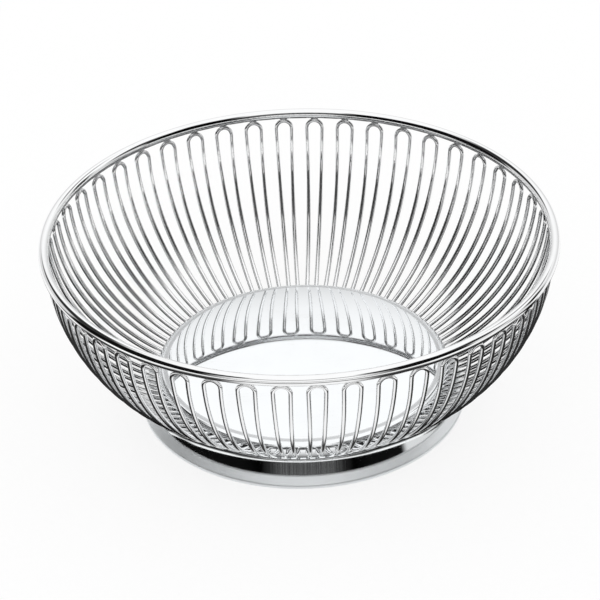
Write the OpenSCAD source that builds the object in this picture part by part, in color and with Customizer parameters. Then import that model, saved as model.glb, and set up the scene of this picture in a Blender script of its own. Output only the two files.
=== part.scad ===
// Round wire basket: a rim hoop, a ring of bent wire hairpins, a shallow dish and a spun foot ring.
// Millimetres, +Z up. The origin is on the table plane, on the axis of the bowl.
// The hairpins are numbered anticlockwise as seen from above, starting at the right-hand side.

/* [Rim] */
// Diameter of the bowl over the outside of the rim hoop
bowl_d = 245; // [200:1:320]
// Height of the whole basket, from the table to the top of the rim hoop
bowl_h = 92; // [80:1:120]
// Diameter of the round bar that the rim hoop is bent from
rim_bar_d = 5; // [3:0.5:8]

/* [Wires] */
// How many hairpins stand around the bowl
hairpins = 48; // [24:1:48]
// Diameter of the wire
wire_d = 2; // [1:0.25:3]
// How far each leg leans towards the other leg of its hairpin, in degrees
leg_splay = 1.4; // [0:0.1:2]
// How far the legs lean outwards where the rounded top begins, in degrees
top_lean = 5.6; // [4:0.2:8]
// How far the rounded top of each hairpin reaches inwards from the middle of the rim bar
crown_inset = 0.7; // [0:0.1:1.5]
// Height above the foot of the dish's skirt at which the wire legs are welded on
weld_h = 4; // [2:0.5:5]

/* [Dish] */
// Outer diameter of the dish over its turned-down skirt
dish_d = 142; // [120:1:160]
// Height of the edge of the dish's top face above the table
dish_edge_z = 19.5; // [18.5:0.5:24]
// How much higher the middle of the dish stands than its edge
dish_rise = 3; // [1:0.5:5]
// Outer radius of the rolled edge between the top face and the skirt
dish_edge_r = 3.5; // [1.5:0.25:4]
// Thickness of the dish's sheet
dish_t = 1; // [0.6:0.1:1.4]

/* [Foot] */
// Diameter of the foot ring over its lip, where it stands
foot_d = 157; // [150:1:175]
// Height of the shoulder on which the dish's skirt stands
shoulder_z = 11.9; // [9:0.1:14]
// Radius of the shoulder's rounded edge, which stands out from the dish's skirt
shoulder_round = 0.8; // [0.4:0.1:1.5]
// Width of the flared lip, from its bend to the foot's edge
lip_w = 3.6; // [2:0.1:6]
// Height of the bend between the foot's wall and its lip
lip_bend_z = 4.4; // [3.5:0.1:6]
// Height of the lip's upright outer edge
lip_edge_h = 1.7; // [1:0.1:2]
// How far the foot's wall is drawn in from a straight cone, at its middle
wall_hollow = 0.3; // [0:0.05:0.6]
// Height of the collar that stands up inside the dish's skirt
collar_h = 3; // [2:0.5:4]
// Thickness of the foot ring's sheet
foot_t = 1; // [0.6:0.1:1.4]

/* [Joints] */
// Gap left at each weld, where a wire meets the rim or the dish
weld_gap = 0.1; // [0.05:0.05:0.3]
// Gap between the dish's skirt and the collar inside it
collar_gap = 0.1; // [0.05:0.05:0.3]

/* [Hidden] */
pad2 = function (n) str(n < 10 ? "0" : "", n);
HAIRPINS = [for (i = [1:hairpins]) str("hairpin_", pad2(i))];

wire_r = wire_d / 2;
rim_bar_r = rim_bar_d / 2;
rim_r = bowl_d / 2 - rim_bar_r;
rim_z = bowl_h - rim_bar_r;

// One hairpin's share of the circle, and how far the first one stands off the +X axis
pitch_angle = 360 / hairpins;
phase_angle = pitch_angle / 2;

// The rounded top of a hairpin touches the rim bar from below and slightly inside
touch = rim_bar_r + wire_r + weld_gap;
apex_r = rim_r - crown_inset;
apex_z = rim_z - sqrt(touch * touch - crown_inset * crown_inset);

// The legs stand evenly along the rim, so a rounded top is half a pitch wide.
// It turns a little more than half a circle, because the legs draw together downwards.
crown_r = apex_r * sin(pitch_angle / 4);
crown_spread = asin(cos(top_lean) * sin(leg_splay));
crown_lean = atan2(sin(top_lean), cos(top_lean) * cos(leg_splay));
crown_h = crown_r * (1 + sin(crown_spread));
leg_top_r = apex_r - crown_h * sin(crown_lean);
leg_top_z = apex_z - crown_h * cos(crown_lean);
leg_top_offset = crown_r * cos(crown_spread);
crown_turn = 180 + 2 * crown_spread;
splice_t = wire_d / 80;
splice_l = wire_d / 4;

// Each leg is one arc in a plane that leans by leg_splay. Heights in that plane are longer by
// the lean. The arc starts along top_lean and passes through the weld on the dish's skirt.
weld_r = dish_d / 2;
weld_height = (shoulder_z + weld_h) / cos(leg_splay);
top_height = leg_top_z / cos(leg_splay);
drop_r = leg_top_r - weld_r;
drop_z = top_height - weld_height;
side_r = (drop_r * drop_r + drop_z * drop_z) / (2 * (drop_r * cos(top_lean) - drop_z * sin(top_lean)));
arc_r = leg_top_r - side_r * cos(top_lean);
arc_height = top_height + side_r * sin(top_lean);
weld_angle = asin((arc_height - weld_height) / side_r);
// The arc is swept this much further, into the dish, and then cut to the skirt
cut_angle = asin(wire_d / side_r);
leg_base_offset = leg_top_offset - top_height * sin(leg_splay);

// The dish's top face falls from its middle by a fourth-power curve, flat first, steeper outwards
dome_r = dish_d / 2 - dish_edge_r;
dome_steps = 14;
edge_steps = 8;
flat_share = 0.25;
fall_share = function (s) flat_share * s * s + (1 - flat_share) * s * s * s * s;
dome_z = function (r) dish_edge_z + dish_rise * (1 - fall_share(r / dome_r));

// The foot's wall, a hollow curve from the shoulder's rounded edge down to the lip's bend
wall_steps = 8;
shoulder_steps = 6;
wall_top_r = dish_d / 2 + shoulder_round;
wall_top_z = shoulder_z - shoulder_round;
foot_r = foot_d / 2;
lip_bend_r = foot_r - lip_w;
wall_r = function (s) wall_top_r + (lip_bend_r - wall_top_r) * s - 4 * wall_hollow * s * (1 - s);
wall_z = function (s) wall_top_z + (lip_bend_z - wall_top_z) * s;
sheet_side = foot_t / sin(atan2(wall_top_z - lip_bend_z, lip_bend_r - wall_top_r));
collar_r = dish_d / 2 - dish_t - collar_gap;

smooth = 96;

module rim_ring() {
    color("silver")
        translate([0, 0, rim_z])
            rotate_extrude($fn = 2 * smooth)
                translate([rim_r, 0])
                    circle(r = rim_bar_r, $fn = smooth / 2);
}

// A wire bent to an arc of radius r and the given angle, starting at +X in the XY plane
module bent_wire(r, angle) {
    rotate_extrude(angle = angle, $fn = smooth)
        translate([r, 0])
            circle(r = wire_r, $fn = smooth / 2);
}

// A sleeve a hair wider than the wire, over the place where two bends of one wire meet.
// It stands on a circle of radius r, at the given angle from +X
module splice(r, angle) {
    rotate([0, 0, angle])
        translate([r, 0, 0])
            rotate([90, 0, 0])
                cylinder(r = wire_r + splice_t, h = splice_l, center = true, $fn = smooth / 2);
}

// One leg in its leaning plane. Side is 1 or -1
module leg(side) {
    translate([0, side * leg_base_offset, 0])
        rotate([-side * leg_splay, 0, 0])
            translate([arc_r, 0, arc_height])
                rotate([-90, 0, 0])
                    rotate([0, 0, top_lean])
                        bent_wire(side_r, weld_angle + cut_angle - top_lean);
}

// The rounded top, in the plane that both legs' upper ends point along
module crown() {
    translate([leg_top_r, 0, leg_top_z])
        rotate([0, crown_lean, 0])
            rotate([90, 0, 90])
                translate([0, crown_r * sin(crown_spread), 0])
                    rotate([0, 0, -crown_spread]) {
                        bent_wire(crown_r, crown_turn);
                        splice(crown_r, 0);
                        splice(crown_r, crown_turn);
                    }
}

// One hairpin, its legs' ends cut to the round of the dish's skirt
module hairpin(index) {
    color("gainsboro")
        rotate([0, 0, phase_angle + index * pitch_angle])
            difference() {
                union() {
                    leg(1);
                    crown();
                    leg(-1);
                }
                cylinder(r = dish_d / 2 + weld_gap, h = dish_edge_z + dish_rise, $fn = 2 * smooth);
            }
}

// Pressed from one sheet: a low dome, a rolled edge and a plain skirt
module dish() {
    outer_r = dish_d / 2;
    inner_edge_r = dish_edge_r - dish_t;
    dome = [for (i = [0:dome_steps]) i * dome_r / dome_steps];
    edge = [for (i = [1:edge_steps]) i * 90 / edge_steps];
    top = [for (r = dome) [r, dome_z(r)]];
    edge_mid_z = dish_edge_z - dish_edge_r;
    edge_top = [for (a = edge) [dome_r + dish_edge_r * sin(a), edge_mid_z + dish_edge_r * cos(a)]];
    edge_under = [for (a = edge) [dome_r + inner_edge_r * sin(a), edge_mid_z + inner_edge_r * cos(a)]];
    under = [for (r = dome) [r, dome_z(r) - dish_t]];
    color("whitesmoke")
        rotate_extrude($fn = 2 * smooth)
            polygon(concat(
                top,
                edge_top,
                [[outer_r, shoulder_z], [outer_r - dish_t, shoulder_z]],
                reverse(edge_under),
                reverse(under)
            ));
}

function reverse(points) = [for (i = [len(points) - 1:-1:0]) points[i]];

// Spun from one sheet: a collar inside the skirt, a shoulder, a hollow wall and a flared lip.
// The outline goes down the outside and comes back up the inside
module foot_ring() {
    steps = [for (i = [0:wall_steps]) i / wall_steps];
    collar_z = shoulder_z + collar_h;
    collar = [[collar_r - foot_t, collar_z], [collar_r, collar_z], [collar_r, shoulder_z]];
    turns = [for (i = [0:shoulder_steps - 1]) i * 90 / shoulder_steps];
    shoulder = [for (a = turns) [dish_d / 2 + shoulder_round * sin(a), wall_top_z + shoulder_round * cos(a)]];
    under_z = shoulder_z - foot_t;
    under_shoulder = [[wall_top_r - sheet_side, under_z], [collar_r - foot_t, under_z]];
    wall_outside = [for (s = steps) [wall_r(s), wall_z(s)]];
    wall_inside = [for (s = steps) if (wall_z(s) < under_z) [wall_r(s) - sheet_side, wall_z(s)]];
    edge_break = foot_t / 4;
    lip_outside = [[foot_r - edge_break, lip_edge_h], [foot_r, lip_edge_h - edge_break], [foot_r, 0]];
    lip_inside = [[foot_r - 2 * foot_t, 0]];
    color("silver")
        rotate_extrude($fn = 2 * smooth)
            polygon(concat(
                collar,
                shoulder,
                wall_outside,
                lip_outside,
                lip_inside,
                reverse(wall_inside),
                under_shoulder
            ));
}

rim_ring();
dish();
foot_ring();
for (i = [0:hairpins - 1])
    hairpin(i);
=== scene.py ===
import math

import bmesh
import bpy
import numpy as np
from mathutils import Matrix, Vector


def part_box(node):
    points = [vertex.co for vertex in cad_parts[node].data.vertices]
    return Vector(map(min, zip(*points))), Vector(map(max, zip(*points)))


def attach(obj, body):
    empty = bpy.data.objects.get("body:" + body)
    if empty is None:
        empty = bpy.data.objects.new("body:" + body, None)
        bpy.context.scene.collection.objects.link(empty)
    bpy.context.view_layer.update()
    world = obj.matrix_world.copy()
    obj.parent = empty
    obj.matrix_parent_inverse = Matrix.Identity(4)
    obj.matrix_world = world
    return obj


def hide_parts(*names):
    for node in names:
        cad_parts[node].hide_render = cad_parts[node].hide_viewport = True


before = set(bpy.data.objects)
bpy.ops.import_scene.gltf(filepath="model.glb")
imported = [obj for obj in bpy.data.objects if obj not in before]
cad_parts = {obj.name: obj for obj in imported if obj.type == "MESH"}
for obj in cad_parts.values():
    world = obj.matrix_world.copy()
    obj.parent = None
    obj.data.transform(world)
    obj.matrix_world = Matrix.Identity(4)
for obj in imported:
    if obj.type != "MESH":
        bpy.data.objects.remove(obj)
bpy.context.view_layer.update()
mm = 0.001

# Rim hoop. One round bar of stainless steel, rolled to a circle, butt-welded and mirror polished.
# It is the lip of the bowl, and the hairpins hang from welds along its underside.

rim_low, rim_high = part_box("rim_ring")
rim_bar_r = (rim_high.z - rim_low.z) / 2
rim_r = rim_high.x - rim_bar_r
rim_z = rim_high.z - rim_bar_r
rim_steps = 480
rim_bar_steps = 40
rim_grain = (40 * mm, 0.25 * mm)
rim_pale = (0.93, 0.935, 0.94, 1)
rim_dull = (0.80, 0.805, 0.81, 1)
rim_smooth = 0.02
film_size = 22 * mm
scratch_size = (30 * mm, 1.6 * mm, 9 * mm)
scratch_turn = (0.3, 0.2, 0.7)
film_rough = 0.02
line_rough = 0.015
scratch_rough = 0.06
satin_rough = 0.26
satin_line_rough = 0.12
satin_dulls = 0.4
relief_depth = 0.001 * mm
relief_share = 0.3


def shell(name, points, along, around, rows_close=False):
    """A closed mesh from a grid of points, row i by column j, or from a stack of such grids. The columns
    always close into rings, and the rows do if rows_close says so. A row drawn in to one point becomes a
    pole. The UV map "path" holds along[i] and around[j] in metres. The faces are turned outwards by the sign
    of the volume that they enclose."""
    rows, columns = points.shape[-3:-1]
    flat = points.reshape(-1, 3)
    i, j = np.meshgrid(np.arange(rows if rows_close else rows - 1), np.arange(columns), indexing="ij")
    at_i = (i[..., None] + np.array([0, 0, 1, 1])).reshape(-1, 4)
    at_j = (j[..., None] + np.array([0, 1, 1, 0])).reshape(-1, 4)
    first = np.arange(0, len(flat), rows * columns)[:, None, None]
    corners = (first + at_i % rows * columns + at_j % columns).reshape(-1, 4)
    at_i = np.tile(at_i, (len(first), 1))
    at_j = np.tile(at_j, (len(first), 1))
    a, b, c, d = (flat[corners[:, k]] for k in range(4))
    if (a * (np.cross(b, c) + np.cross(c, d))).sum() < 0:
        corners, at_i, at_j = corners[:, ::-1], at_i[:, ::-1], at_j[:, ::-1]
    mesh = bpy.data.meshes.new(name)
    mesh.vertices.add(len(flat))
    mesh.vertices.foreach_set("co", flat.astype(np.float32).ravel())
    mesh.loops.add(corners.size)
    mesh.loops.foreach_set("vertex_index", corners.ravel().astype(np.int32))
    mesh.polygons.add(len(corners))
    mesh.polygons.foreach_set("loop_start", np.arange(0, corners.size, 4, dtype=np.int32))
    mesh.update(calc_edges=True)
    uv = np.stack([np.asarray(along)[at_i], np.asarray(around)[at_j]], -1)
    mesh.uv_layers.new(name="path").data.foreach_set("uv", uv.astype(np.float32).ravel())
    work = bmesh.new()
    work.from_mesh(mesh)
    bmesh.ops.remove_doubles(work, verts=work.verts, dist=mm / 1000)
    work.to_mesh(mesh)
    work.free()
    mesh.shade_smooth()
    made = bpy.data.objects.new(name, mesh)
    bpy.context.scene.collection.objects.link(made)
    return made


def dress(made, material, slot, *nodes):
    """Gives a finished piece its material, seats it on the basket and hides the solids that it stands for."""
    made.data.materials.append(material)
    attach(made, "root")
    if nodes:
        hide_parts(*nodes)


class Flow:
    """A socket in a tree of nodes. Arithmetic on flows adds Math nodes, and node() adds a node of any
    kind."""

    def __init__(self, tree, socket=None):
        self.tree = tree
        self.socket = socket

    def node(self, kind, settings=(), sockets=(), output=0):
        """Adds a node, sets its settings, then fills or links its sockets, and gives one of its outputs, by
        its name or its number."""
        made = self.tree.nodes.new(kind)
        for key, value in dict(settings).items():
            setattr(made, key, value)
        for key, value in dict(sockets).items():
            if isinstance(value, Flow):
                self.tree.links.new(value.socket, made.inputs[key])
            else:
                made.inputs[key].default_value = value
        return Flow(self.tree, made.outputs[output] if len(made.outputs) else None)

    def maths(self, operation, *values):
        """A Math node on numbers or flows."""
        return self.node("ShaderNodeMath", {"operation": operation}, enumerate(values))

    def __add__(self, other):
        return self.maths("ADD", self, other)

    __radd__ = __add__

    def __sub__(self, other):
        return self.maths("SUBTRACT", self, other)

    def __rsub__(self, other):
        return self.maths("SUBTRACT", other, self)

    def __mul__(self, other):
        return self.maths("MULTIPLY", self, other)

    __rmul__ = __mul__

    def __truediv__(self, other):
        return self.maths("DIVIDE", self, other)

    def __abs__(self):
        return self.maths("ABSOLUTE", self)

    def root(self):
        """The square root."""
        return self.maths("SQRT", self)

    def rise(self, start, end):
        """0 up to start, 1 from end on, and smooth between them. Start may be the higher one."""
        settings = {"interpolation_type": "SMOOTHSTEP"}
        return self.node("ShaderNodeMapRange", settings, {"Value": self, "From Min": start, "From Max": end})

    def blend(self, first, second):
        """The colour first where this is 0, and second where it is 1."""
        mix = self.node("ShaderNodeMix", {"data_type": "RGBA"}, {0: self}, output=2)
        for socket, colour in zip([s for s in mix.socket.node.inputs if s.type == "RGBA"], (first, second)):
            if isinstance(colour, Flow):
                self.tree.links.new(colour.socket, socket)
            else:
                socket.default_value = colour
        return mix

    def parts(self):
        """The three parts of a vector."""
        x = self.node("ShaderNodeSeparateXYZ", (), {0: self})
        y, z = (Flow(self.tree, socket) for socket in x.socket.node.outputs[1:])
        return x, y, z

    def place(self):
        """Where a point of the piece is in the basket's frame, in metres."""
        return self.node("ShaderNodeTexCoord", output="Object")

    def out_from_axis(self):
        """How far a point of the piece is from the basket's axis."""
        x, y, z = self.place().parts()
        return (x * x + y * y).root()


def new_material(name):
    """A material with no nodes yet, and the start of its flow."""
    material = bpy.data.materials.new(name)
    material.use_nodes = True
    material.node_tree.nodes.clear()
    return material, Flow(material.node_tree)


def along_the_bar(start, grain):
    """The place in the polishing lines of a bar or wire, which run along its path."""
    length, spacing = grain
    path = start.node("ShaderNodeUVMap", {"uv_map": "path"})
    return start.node("ShaderNodeMapping", (), {"Vector": path, "Scale": (1 / length, 1 / spacing, 1)})


def round_the_axis(start, grain):
    """The place in the polishing lines of a spun piece, which run round the basket's axis. Across the lines
    it goes by the distance from the axis and the height, and along them by the direction from the axis. The
    spacing is mixed into the distance, so that nothing is divided by 0 on the axis."""
    length, spacing = grain
    x, y, z = start.place().parts()
    out = (x * x + y * y + spacing * spacing).root()
    sockets = {"X": (out + z) / spacing, "Y": x / out / length, "Z": y / out / length}
    return start.node("ShaderNodeCombineXYZ", (), sockets)


def polished_steel(name, pale, dull, smooth, grain, run, satin_and_shade_at=None, satin_and_shade_tone=None):
    """Polished stainless steel. Pale and dull are its colours where it is clean and where it is filmed over,
    smooth is its least roughness, grain the length and spacing of its polishing lines and run the function
    that lays them. The satin mask gives how much of the polish is missing, where a weld was dressed or a lip
    was brushed, and on the dish it lays a painted grey line of shade; the tone given with it is the colour
    there if it isn't dull. Fine scratches cross the film."""
    material, start = new_material(name)
    place = start.place()
    lines = start.node("ShaderNodeTexNoise", (), {"Vector": run(start, grain), "Scale": 1.0, "Detail": 3.0})
    film = start.node("ShaderNodeTexNoise", (), {"Vector": place, "Scale": 1 / film_size, "Detail": 4.0})
    drawn_out = tuple(1 / size for size in scratch_size)
    stretch = {"Vector": place, "Rotation": scratch_turn, "Scale": drawn_out}
    crossing = start.node("ShaderNodeMapping", (), stretch)
    streaks = start.node("ShaderNodeTexNoise", (), {"Vector": crossing, "Scale": 1.0, "Detail": 2.0})
    scratch = abs(streaks - 0.5).rise(0.016, 0.0) * film.rise(0.42, 0.62)
    colour = (film.rise(0.4, 0.85) * 0.4 + scratch * 0.25).blend(pale, dull)
    rough = film * film_rough + lines * line_rough + scratch * scratch_rough + smooth
    metallic = 1.0
    if satin_and_shade_at:
        # On the dish this mask is a painted line of shade, which greys the colour there.
        satin_and_shade = satin_and_shade_at(start)
        colour = (satin_and_shade * (0.6 + lines * 0.4)).blend(colour, satin_and_shade_tone or dull)
        rough = rough + satin_and_shade * (satin_rough + lines * satin_line_rough)
        metallic = 1 - satin_and_shade * satin_dulls
    height = lines * 0.6 + scratch * 0.4
    relief = {"Height": height, "Strength": relief_share, "Distance": relief_depth}
    bump = start.node("ShaderNodeBump", (), relief)
    metal = {"Base Color": colour, "Metallic": metallic, "Roughness": rough, "Normal": bump}
    surface = start.node("ShaderNodeBsdfPrincipled", (), metal)
    start.node("ShaderNodeOutputMaterial", (), {"Surface": surface})
    return material


def hoop_points(radius, height, bar_r, steps, bar_steps):
    """A round bar in a circle: at turn t and angle p round the bar, the point stands radius + bar_r cos p
    out from the axis in direction t, at height + bar_r sin p."""
    t = np.linspace(0, 2 * math.pi, steps, endpoint=False)[:, None]
    p = np.linspace(0, 2 * math.pi, bar_steps, endpoint=False)[None, :] - math.pi / 2
    out = radius + bar_r * np.cos(p)
    return np.stack([out * np.cos(t), out * np.sin(t), height + bar_r * np.sin(p) + 0 * t], -1)


rim_hoop = shell(
    "rim_hoop",
    hoop_points(rim_r, rim_z, rim_bar_r, rim_steps, rim_bar_steps),
    np.linspace(0, 2 * math.pi * rim_r, rim_steps + 1),
    np.linspace(0, 2 * math.pi * rim_bar_r, rim_bar_steps + 1),
    rows_close=True,
)
rim_steel = polished_steel("hoop_steel", rim_pale, rim_dull, rim_smooth, rim_grain, along_the_bar)
dress(rim_hoop, rim_steel, "rim_steel", "rim_ring")

# Dish. One disc of stainless sheet, pressed to a very low dome, with its edge rolled over into a short
# skirt. It is the floor of the basket, polished like a mirror and worn by fine scratches, and the wires'
# legs are welded all round its skirt.

dish_low, dish_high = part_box("dish")
skirt_r = dish_high.x
skirt_lift = 0.6 * mm
skirt_foot_z = dish_low.z + skirt_lift
dish_rise = 3.4 * mm
dish_sheet = 1 * mm
dish_edge_r = 3.5 * mm
skirt_flare = math.radians(6)
dish_top_z = dish_high.z
dome_flat_share = 0.25
dome_steps = 100
edge_steps = 24
# painted shade: where the grey line of shade inside the dish's edge lies, and how wide it is
shade_line_in = 1.2 * mm
shade_line_w = 1.4 * mm
sheet_round = 0.2 * mm
turn_steps = 384
dish_grain = (300 * mm, 0.4 * mm)
dish_pale = (0.93, 0.95, 0.965, 1)
dish_dull = (0.86, 0.87, 0.88, 1)
# painted shade: the grey of that line, standing in for a darker reflection at the start of the roll
dish_shade_grey = (0.58, 0.59, 0.60, 1)
dish_smooth = 0.015


def spun(name, profile, closed):
    """A profile of (distance from the axis, height) carried round the axis: at turn t, each point stands
    its distance out in direction t. A closed profile gives a ring, and an open one starts and ends on the
    axis."""
    t = np.linspace(0, 2 * math.pi, turn_steps, endpoint=False)[None, :]
    out, height = profile[:, 0, None], profile[:, 1, None]
    points = np.stack([out * np.cos(t), out * np.sin(t), height + 0 * t], -1)
    path = np.vstack([profile, profile[:1]])
    along = np.concatenate([[0], np.hypot(*np.diff(path, axis=0).T).cumsum()])
    around = np.linspace(0, 2 * math.pi * profile[:, 0].max(), turn_steps + 1)
    return shell(name, points, along, around, closed)


def arc(centre, radius, first, last, steps):
    """Points of a circle in a profile, from the first angle to the last in degrees. 0 is outwards and 90 is
    upwards."""
    a = np.radians(np.linspace(first, last, steps + 1))
    return np.stack([centre[0] + radius * np.cos(a), centre[1] + radius * np.sin(a)], -1)


def dome_height(out):
    """The height of the dish's top at a distance from the axis: it falls by the fourth power, flat first."""
    s = out / dome_r
    return dish_top_z - dish_rise * (dome_flat_share * s**2 + (1 - dome_flat_share) * s**4)


def bend(before, corner, after, radius, steps=5):
    """A corner of a sheet's profile, rounded: a quadratic curve that leaves one straight side a radius
    before the corner and joins the other a radius after it, with one more point on each side to hold the
    straights."""
    before, corner, after = (np.array(point) for point in (before, corner, after))
    into = (corner - before) / np.linalg.norm(corner - before)
    out = (after - corner) / np.linalg.norm(after - corner)
    s = np.linspace(0, 1, steps + 1)[:, None]
    leaves, joins = corner - radius * into, corner + radius * out
    curve = (1 - s) ** 2 * leaves + 2 * s * (1 - s) * corner + s**2 * joins
    return np.vstack([curve[:1] - radius * into / 2, curve, curve[-1:] + radius * out / 2])


def painted_shade_line(start):
    """1 along a painted grey line of shade just inside the dish's edge, standing in for the darker reflection
    where the dome starts to roll over, and 0 a little way off.
    """
    off_line = abs(start.out_from_axis() - (dome_r - shade_line_in))
    return off_line.rise(shade_line_w, shade_line_w / 3)


edge_slope = math.atan(dish_rise * (4 - 2 * dome_flat_share) / (skirt_r - dish_edge_r))
edge_mid_z = dish_top_z - dish_rise - dish_edge_r * math.cos(edge_slope)
flare_h = edge_mid_z + dish_edge_r * math.sin(skirt_flare) - skirt_foot_z
edge_mid_r = skirt_r - dish_edge_r * math.cos(skirt_flare) - flare_h * math.tan(skirt_flare)
edge_mid = (edge_mid_r, edge_mid_z)
dome_r = edge_mid_r + dish_edge_r * math.sin(edge_slope)
dome_out = np.linspace(0, dome_r, dome_steps + 1)
edge_turn = (90 - math.degrees(edge_slope), math.degrees(skirt_flare))
edge_outside = arc(edge_mid, dish_edge_r, *edge_turn, edge_steps)
edge_inside = arc(edge_mid, dish_edge_r - dish_sheet, *edge_turn[::-1], edge_steps)
skirt_foot = (skirt_r, skirt_foot_z)
skirt_foot_in = (skirt_r - dish_sheet, skirt_foot_z)
dish_profile = np.vstack([
    np.stack([dome_out, dome_height(dome_out)], -1)[:-1],
    edge_outside,
    bend(edge_outside[-1], skirt_foot, skirt_foot_in, sheet_round),
    bend(skirt_foot, skirt_foot_in, edge_inside[0], sheet_round),
    edge_inside,
    np.stack([dome_out, dome_height(dome_out) - dish_sheet], -1)[-2::-1],
])
# The dish's steel carries a painted grey line of shade just inside its edge.
dish_steel = polished_steel(
    "dish_steel", dish_pale, dish_dull, dish_smooth, dish_grain, round_the_axis, painted_shade_line, dish_shade_grey
)
dress(spun("mirror_dish", dish_profile, False), dish_steel, "dish_steel", "dish")

# Foot ring. One ring spun from stainless sheet: a collar inside the dish's skirt, a shoulder for the skirt
# to stand on, a hollow sloping wall that is polished like a mirror, and a flared lip that is brushed, on
# which the basket stands.

foot_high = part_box("foot_ring")[1]
foot_r = foot_high.x
collar_z = foot_high.z
collar_gap = 0.1 * mm
collar_r = skirt_r - dish_sheet - collar_gap
shoulder_z = skirt_foot_z
foot_sheet = 1 * mm
shoulder_round = 0.8 * mm
wall_top_turn = math.radians(16)
wall_hollow = 0.25 * mm
wall_steps = 48
lip_w = 3.6 * mm
lip_bend_z = 4.4 * mm
lip_edge_h = 1.7 * mm
lip_round = 0.2 * mm
lip_edge_round = 0.4 * mm
seat_gap = 0.025 * mm
brushed_from = 0.5 * mm
brushed_fully = 0.1 * mm
rubbed_below = -1 * mm
rubbed_up_to = 0.2 * mm
lip_bend_r = foot_r - lip_w
foot_grain = (400 * mm, 0.35 * mm)
foot_pale = (0.91, 0.93, 0.94, 1)
foot_dull = (0.925, 0.955, 0.97, 1)
foot_smooth = 0.03

wall_share = np.linspace(0, 1, wall_steps + 1)
shoulder_mid = (skirt_r, shoulder_z - shoulder_round)
shoulder = arc(shoulder_mid, shoulder_round, 90, math.degrees(wall_top_turn), 8)
wall_top_r, wall_top_z = shoulder[-1]
wall_drawn_in = 4 * wall_hollow * wall_share * (1 - wall_share)
wall_out = wall_top_r + (lip_bend_r - wall_top_r) * wall_share - wall_drawn_in
wall_height = wall_top_z + (lip_bend_z - wall_top_z) * wall_share
wall_lean = math.atan2(wall_top_z - lip_bend_z, lip_bend_r - wall_top_r)
wall = np.stack([wall_out, wall_height], -1)
inner_wall = np.stack([wall_out - foot_sheet / math.sin(wall_lean), wall_height], -1)
collar_top = (collar_r, collar_z)
collar_top_in = (collar_r - foot_sheet, collar_z)
collar_foot = (collar_r, shoulder_z)
under_shoulder = (collar_r - foot_sheet, shoulder_z - foot_sheet)
lip_top = (foot_r, lip_edge_h)
lip_foot = (foot_r, 0)
lip_under = (foot_r - 2 * foot_sheet, 0)
foot_profile = np.vstack([
    bend(under_shoulder, collar_top_in, collar_top, sheet_round),
    bend(collar_top_in, collar_top, collar_foot, sheet_round),
    [[collar_r, shoulder_z + sheet_round / 2], [collar_r + sheet_round / 2, shoulder_z - seat_gap]],
    shoulder - (0, seat_gap),
    wall[1:-1],
    bend(wall[-2], wall[-1], lip_top, lip_round, 4),
    bend(wall[-1], lip_top, lip_foot, lip_edge_round, 6),
    bend(lip_top, lip_foot, lip_under, sheet_round),
    bend(lip_foot, lip_under, inner_wall[-1], sheet_round),
    inner_wall[:2:-1],
    bend(inner_wall[3], (inner_wall[0, 0], under_shoulder[1]), under_shoulder, sheet_round),
    bend(inner_wall[0], under_shoulder, collar_top_in, sheet_round),
])


def brushed_lip(start):
    """1 on the lip, which is brushed and not mirror polished, and 0 on the wall. It is a little less than 1
    on the face that stands on the table."""
    x, y, z = start.place().parts()
    lip = start.out_from_axis().rise(lip_bend_r - brushed_from, lip_bend_r - brushed_fully)
    return lip * z.rise(rubbed_below, rubbed_up_to)


foot_steel = polished_steel(
    "foot_steel", foot_pale, foot_dull, foot_smooth, foot_grain, round_the_axis, brushed_lip
)
dress(spun("spun_foot", foot_profile, True), foot_steel, "foot_steel", "foot_ring")

# Hairpins. Forty-eight lengths of round stainless wire, each bent to a rounded top with two legs.
# The top is welded under the rim hoop. The legs draw together a little as they follow the bowl's curve
# down and inwards, and their ends are welded to the dish's skirt.

hairpin_nodes = sorted(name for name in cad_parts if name.startswith("hairpin_"))
wire_r = 1 * mm
weld_gap = 0.1 * mm
crown_inset = 0.7 * mm
leg_splay = math.radians(1.4)
top_lean = math.radians(5.6)
weld_h = 3.4 * mm
weld_z = skirt_foot_z + weld_h
leg_steps = 72
crown_steps = 28
wire_sides = 20
end_sink = 0.8 * mm
end_fillet = 0.7 * mm
end_swell = 0.28 * mm
dressed_far = 3 * mm
dressed_near = 0.5 * mm
dressed_share = 0.4
wire_grain = (25 * mm, 0.12 * mm)
wire_pale = (0.93, 0.935, 0.94, 1)
wire_dull = (0.80, 0.805, 0.81, 1)
wire_smooth = 0.02

pitch = 2 * math.pi / len(hairpin_nodes)
touch = rim_bar_r + wire_r + weld_gap
apex_r = rim_r - crown_inset
apex_z = rim_z - math.sqrt(touch**2 - crown_inset**2)
crown_r = apex_r * math.sin(pitch / 4)
crown_spread = math.asin(math.cos(top_lean) * math.sin(leg_splay))
crown_lean = math.atan2(math.sin(top_lean), math.cos(top_lean) * math.cos(leg_splay))
crown_h = crown_r * (1 + math.sin(crown_spread))
leg_top_r = apex_r - crown_h * math.sin(crown_lean)
leg_top_z = apex_z - crown_h * math.cos(crown_lean)
top_height = leg_top_z / math.cos(leg_splay)
drop_r = leg_top_r - skirt_r
drop_z = top_height - weld_z / math.cos(leg_splay)
side_r = (drop_r**2 + drop_z**2) / (2 * (drop_r * math.cos(top_lean) - drop_z * math.sin(top_lean)))
arc_r = leg_top_r - side_r * math.cos(top_lean)
arc_height = top_height + side_r * math.sin(top_lean)
leg_base_offset = crown_r * math.cos(crown_spread) - top_height * math.sin(leg_splay)
weld_angle = math.asin((arc_height - weld_z / math.cos(leg_splay)) / side_r) + end_sink / side_r


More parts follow.
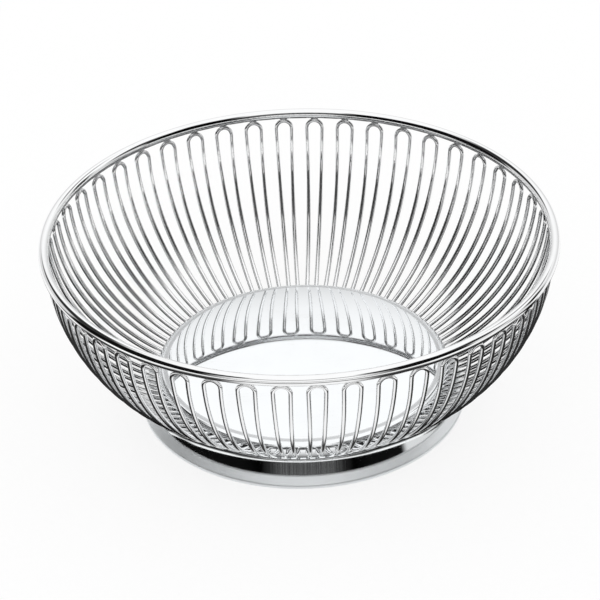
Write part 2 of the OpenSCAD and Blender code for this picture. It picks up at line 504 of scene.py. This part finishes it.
def leg_line(side):
    """The middle line of one leg and its outward normals, from the top down. In a plane that leans by the
    splay, at angle b the leg stands side_r cos b out from the arc's middle and side_r sin b below it."""
    b = np.linspace(top_lean, weld_angle, leg_steps + 1)
    height = arc_height - side_r * np.sin(b)
    sideways = side * (leg_base_offset + height * math.sin(leg_splay))
    line = np.stack([arc_r + side_r * np.cos(b), sideways, height * math.cos(leg_splay)], -1)
    down = np.sin(b) * math.cos(leg_splay)
    return line, np.stack([np.cos(b), -side * np.sin(b) * math.sin(leg_splay), -down], -1)


def crown_line():
    """The middle line of the rounded top and its outward normals: a circle of crown_r, turned a little more
    than half round, in a plane that leans outwards by crown_lean."""
    a = np.linspace(-crown_spread, math.pi + crown_spread, crown_steps + 1)[1:-1]
    rise = crown_r * (math.sin(crown_spread) + np.sin(a))
    lean = np.array([math.cos(crown_lean), 0, -math.sin(crown_lean)])
    line = np.stack([
        leg_top_r + rise * math.sin(crown_lean),
        crown_r * np.cos(a),
        leg_top_z + rise * math.cos(crown_lean),
    ], -1)
    return line, np.tile(lean, (len(a), 1))


def wire_points(line, normal, radii):
    """A round wire: at each point of its middle line stands a circle of that point's radius, across the
    line."""
    along = np.gradient(line, axis=0)
    along /= np.linalg.norm(along, axis=1, keepdims=True)
    normal = normal - (normal * along).sum(1, keepdims=True) * along
    normal /= np.linalg.norm(normal, axis=1, keepdims=True)
    across = np.cross(along, normal)
    p = np.linspace(0, 2 * math.pi, wire_sides, endpoint=False)[None, :, None] + math.pi
    ring = normal[:, None] * np.cos(p) + across[:, None] * np.sin(p)
    return line[:, None] + radii[:, None, None] * ring


def turned(points, angle):
    """The points turned about the basket's axis."""
    return points @ np.array(Matrix.Rotation(-angle, 3, "Z"))


def dressed_ends(start):
    """How much of the polish is missing where the welds were ground: at the middle of the wire, which is the
    top of its bend, and at its two ends."""
    from_top = abs(start.node("ShaderNodeUVMap", {"uv_map": "path"}).parts()[0])
    top = from_top.rise(dressed_far, dressed_near)
    ends = from_top.rise(wire_half - dressed_far, wire_half - dressed_near)
    return (top + ends) * dressed_share


left_line, left_normal = leg_line(1)
right_line, right_normal = leg_line(-1)
top_line, top_normal = crown_line()
wire_line = np.vstack([left_line[::-1], top_line, right_line])
wire_normal = np.vstack([left_normal[::-1], top_normal, right_normal])
wire_place = np.concatenate([[0], np.linalg.norm(np.diff(wire_line, axis=0), axis=1).cumsum()])
wire_half = wire_place[-1] / 2
wire_place -= wire_half
from_end = np.clip((wire_half - np.abs(wire_place) - end_sink) / end_fillet, 0, 1)
wire_radii = wire_r + end_swell * (1 - np.sqrt(1 - (1 - from_end) ** 2))
wire_skin = wire_points(wire_line, wire_normal, wire_radii)
first_pole = np.broadcast_to(wire_line[0], wire_skin[:1].shape)
last_pole = np.broadcast_to(wire_line[-1], wire_skin[:1].shape)
wire_shell = np.concatenate([first_pole, wire_skin, last_pole])
wire_along = np.concatenate([wire_place[:1], wire_place, wire_place[-1:]])
wire_around = np.linspace(0, 2 * math.pi * wire_r, wire_sides + 1)
wire_steel = polished_steel(
    "wire_steel", wire_pale, wire_dull, wire_smooth, wire_grain, along_the_bar, dressed_ends
)
for index, node in enumerate(hairpin_nodes):
    name = node.replace("hairpin", "wire_hairpin")
    hairpin = shell(name, turned(wire_shell, (index + 0.5) * pitch), wire_along, wire_around)
    dress(hairpin, wire_steel, "wire_steel", node)

# Rim welds. A short seam of melted steel fills the nick between the top of each hairpin and the rim bar,
# ground smooth. It is drawn out along the rim and thins to nothing where the wire bends away. Its steel is
# painted dark, as painted shade in the nick.

weld_half = 1.9 * mm
weld_across = 0.8 * mm
weld_thick = 0.3 * mm
weld_steps = 10
weld_sides = 8
# painted shade: the weld's colours are far darker than steel, standing in for the shade in the nick between
# wire and rim
weld_pale_shaded = (0.5, 0.505, 0.51, 1)
weld_dull_shaded = (0.3, 0.305, 0.31, 1)
weld_smooth = 0.15

weld_u = np.linspace(-math.pi / 2, math.pi / 2, weld_steps + 1)[:, None]
weld_v = np.linspace(0, 2 * math.pi, weld_sides, endpoint=False)[None, :]
nick = np.array([-crown_inset, 0, apex_z - rim_z]) / touch
nick_across = np.cross(nick, (0, 1, 0))
weld_along = weld_half * np.sin(weld_u)
weld_sink = weld_along**2 / (4 * crown_r) + weld_thick * np.cos(weld_u) * np.sin(weld_v)
weld_middle = np.array([rim_r, 0, rim_z]) + nick * (rim_bar_r + weld_gap / 2)
one_weld = (
    weld_middle
    + weld_along[..., None] * np.array([0, 1, 0])
    + weld_sink[..., None] * nick
    + (weld_across * np.cos(weld_u) * np.cos(weld_v))[..., None] * nick_across
)
weld_points = np.stack([turned(one_weld, (index + 0.5) * pitch) for index in range(len(hairpin_nodes))])
rim_welds = shell("rim_welds", weld_points, weld_along[:, 0], wire_around[: weld_sides + 1])
weld_steel_shaded = polished_steel("weld_steel_shaded", weld_pale_shaded, weld_dull_shaded, weld_smooth, wire_grain, along_the_bar)
dress(rim_welds, weld_steel_shaded, "rim_steel")

# Table top. A wide pale paper top that takes the basket's soft shadow. For glossy rays alone, the top is
# darkened round the basket, because polished wires and sheet show little more than what they mirror: a ring
# under the foot and one under the back of the rim are painted shadow of the basket, and the others are dark
# patches at the sides and in front.

floor_half = 6.0
paper_grain = 3 * mm
paper_dull = (0.21, 0.21, 0.21, 1)
paper_pale = (0.23, 0.23, 0.23, 1)
paper_glow = 0.78
# the brightness of the painted shadow and of the dark patches that glossy rays see on the table
shadow_and_patch_glow = 0.01
table_ends = (0.35, 1.2)


def turn_of(x, y):
    """The direction of a place from the axis, in degrees round from the camera's side. To the right is
    positive."""
    return x.maths("ARCTAN2", x, y * -1) * (180 / math.pi)


def laid_round(near, far):
    """A dark ring on the table. Near is the distance from the axis where it fades in and the one where it is
    whole, and far is the distance where it is gone again and the one up to which it is whole."""
    return away.rise(*near) * away.rise(*far)


bpy.ops.mesh.primitive_plane_add(size=2 * floor_half)
floor = bpy.context.object
floor.name = "table_top"
pale_top, start = new_material("pale_table")
spot = start.place()
x, y, z = spot.parts()
away = (x * x + y * y).root()
floor_turn = turn_of(x, y)
aside = abs(floor_turn)
paper = start.node("ShaderNodeTexNoise", (), {"Vector": spot, "Scale": 1 / paper_grain, "Detail": 2.0})
matt = start.node("ShaderNodeBsdfDiffuse", (), {"Color": paper.blend(paper_dull, paper_pale)})
glow = start.node("ShaderNodeEmission", (), {"Strength": paper_glow})
white = start.node("ShaderNodeEmission", (), {"Strength": 1.0})
unlit = start.node("ShaderNodeEmission", (), {"Strength": shadow_and_patch_glow})
camera_ray = start.node("ShaderNodeLightPath", output="Is Camera Ray")
glossy_ray = start.node("ShaderNodeLightPath", output="Is Glossy Ray")
bright = start.node("ShaderNodeAddShader", (), {0: matt, 1: glow})
lit = start.node("ShaderNodeMixShader", (), {0: camera_ray + glossy_ray, 1: matt, 2: bright})
table = start.node("ShaderNodeMixShader", (), {0: away.rise(*table_ends), 1: lit, 2: white})

# painted shadow: for glossy rays the table goes dark in a ring round the foot and under the back of the rim,
# standing in for the basket's shadow
painted_foot_shadow = laid_round((0.079, 0.084), (0.110, 0.096)) * 0.96
painted_rim_shadow = laid_round((0.096, 0.102), (0.215, 0.185)) * aside.rise(100, 112) * 0.9
in_front = laid_round((0.235, 0.27), (0.42, 0.34)) * aside.rise(50, 38) * 0.9
reaches_back = away.rise(0.19, 0.16) * aside.rise(120, 106)
ends_beside = 1 - (1 - reaches_back) * (1 - aside.rise(90, 78))
both_sides = laid_round((0.083, 0.089), (0.31, 0.22)) * aside.rise(14, 28) * ends_beside * 0.98
far_side = away.rise(0.096, 0.101) * floor_turn.rise(87, 90) * floor_turn.rise(99, 96)
far_left = away.rise(0.30, 0.40) * floor_turn.rise(-112, -100) * floor_turn.rise(-76, -86)
bare = (1 - painted_foot_shadow) * (1 - painted_rim_shadow) * (1 - in_front)
bare = bare * (1 - both_sides) * (1 - far_side) * (1 - far_left)
top = start.node("ShaderNodeMixShader", (), {0: glossy_ray * (1 - bare), 1: table, 2: unlit})
start.node("ShaderNodeOutputMaterial", (), {"Surface": top})
floor.data.materials.append(pale_top)

# White card. A narrow curved card that stands round the front of the basket, just above the height of the
# rim. Only the steel sees it, as a bright band.

card_out = 0.172
card_foot = 0.095
card_top = 0.128
card_half_turn = 28
card_full_turn = 14
card_steps = 48

card_t = np.radians(np.linspace(-card_half_turn, card_half_turn, card_steps + 1))[None, :]
card_z = np.array([card_foot, card_top])[:, None]
card_points = np.stack([
    card_out * np.sin(card_t) + 0 * card_z,
    -card_out * np.cos(card_t) + 0 * card_z,
    card_z + 0 * card_t,
], -1)
first = np.arange(card_steps)
card_faces = np.stack([first, first + 1, first + card_steps + 2, first + card_steps + 1], -1)
card_mesh = bpy.data.meshes.new("white_card")
card_mesh.from_pydata(card_points.reshape(-1, 3).tolist(), [], card_faces.tolist())
card = bpy.data.objects.new("white_card", card_mesh)
bpy.context.scene.collection.objects.link(card)
card_white, start = new_material("white_card")
x, y, z = start.place().parts()
shown = abs(turn_of(x, y)).rise(card_half_turn, card_full_turn)
white = start.node("ShaderNodeEmission", (), {"Strength": 1.0})
clear = start.node("ShaderNodeBsdfTransparent")
card_face = start.node("ShaderNodeMixShader", (), {0: shown, 1: clear, 2: white})
start.node("ShaderNodeOutputMaterial", (), {"Surface": card_face})
card_mesh.materials.append(card_white)
for ray_kind in ("camera", "diffuse", "transmission", "volume_scatter", "shadow"):
    setattr(card, "visible_" + ray_kind, False)

# Room. Plain white light from all round, which the camera and the matt surfaces see. Glossy rays see dark
# cloths hung before it too, and a backdrop that is a little less bright near the ground.

room_level = 1.05
backdrop_low = 8
backdrop_high = 36
backdrop_share = 0.30

room = bpy.data.worlds.new("white_studio")
bpy.context.scene.world = room
room.use_nodes = True
room.node_tree.nodes.clear()
start = Flow(room.node_tree)
x, y, z = start.node("ShaderNodeTexCoord", output="Generated").parts()
turn = turn_of(x, y)
lift = z.maths("ARCSINE", z) * (180 / math.pi)


def cloth(left, right, foot, top, soft, depth):
    """The share of light that a dark cloth leaves. Left and right are its sides, in degrees round from the
    camera's side, and foot and top are its heights above the table, in degrees."""
    wide = turn.rise(left - soft, left + soft) * turn.rise(right + soft, right - soft)
    high = lift.rise(foot - soft, foot + soft) * lift.rise(top + soft, top - soft)
    return 1 - wide * high * depth


pleats = {"W": turn * 1.5, "Scale": 1.0, "Detail": 3.0}
folds = start.node("ShaderNodeTexNoise", {"noise_dimensions": "1D"}, pleats)
left_cloths = cloth(-107, -27, -6, 57, 3, 0.995) * cloth(-152, -104, 22, 54, 5, 0.97)
right_cloths = cloth(31, 73, -6, 60, 3, 0.995) * cloth(70, 98, 20, 50, 4, 0.97)
middle_cloth = cloth(-28, 32, -6, 45, 3, folds.rise(0.75, 0.25) * 0.22 + 0.77)
middle_sides = cloth(-38, -21, -6, 34, 8, 0.94) * cloth(24, 42, -6, 34, 8, 0.94)
back_cloths = cloth(107, 120, 1, 26, 3, 0.97) * cloth(137, 152, 32, 50, 4, 0.85)
cloths = left_cloths * right_cloths * middle_cloth * middle_sides * back_cloths
backdrop = 1 - lift.rise(backdrop_high, backdrop_low) * backdrop_share
glossy_ray = start.node("ShaderNodeLightPath", output="Is Glossy Ray")
level = 1 - glossy_ray * (1 - cloths * backdrop * room_level)
sky = start.node("ShaderNodeBackground", (), {"Color": (1, 1, 1, 1), "Strength": level})
start.node("ShaderNodeOutputWorld", (), {"Surface": sky})

# Camera. It looks down on the basket from the front, nearly level from side to side, with a long lens.

camera_lift = math.radians(33.234)
camera_turn = math.radians(0.83)
camera_roll = math.radians(-1.658)
camera_far = 1.2779
camera_aim = Vector((0, 0, 0.040))
camera_lens = 159.54
camera_film = 36
camera_shift = (-0.00248, 0.0405)

camera = bpy.data.objects.new("camera", bpy.data.cameras.new("camera"))
bpy.context.scene.collection.objects.link(camera)
camera.data.sensor_width = camera_film
camera.data.lens = camera_lens
camera.data.shift_x, camera.data.shift_y = camera_shift
back = Vector((
    math.sin(camera_turn) * math.cos(camera_lift),
    -math.cos(camera_turn) * math.cos(camera_lift),
    math.sin(camera_lift),
))
camera.location = camera_aim + camera_far * back
facing = back.to_track_quat("Z", "Y").to_matrix() @ Matrix.Rotation(camera_roll, 3, "Z")
camera.rotation_euler = facing.to_euler()
bpy.context.scene.camera = camera
bpy.context.scene.view_settings.view_transform = "Standard"
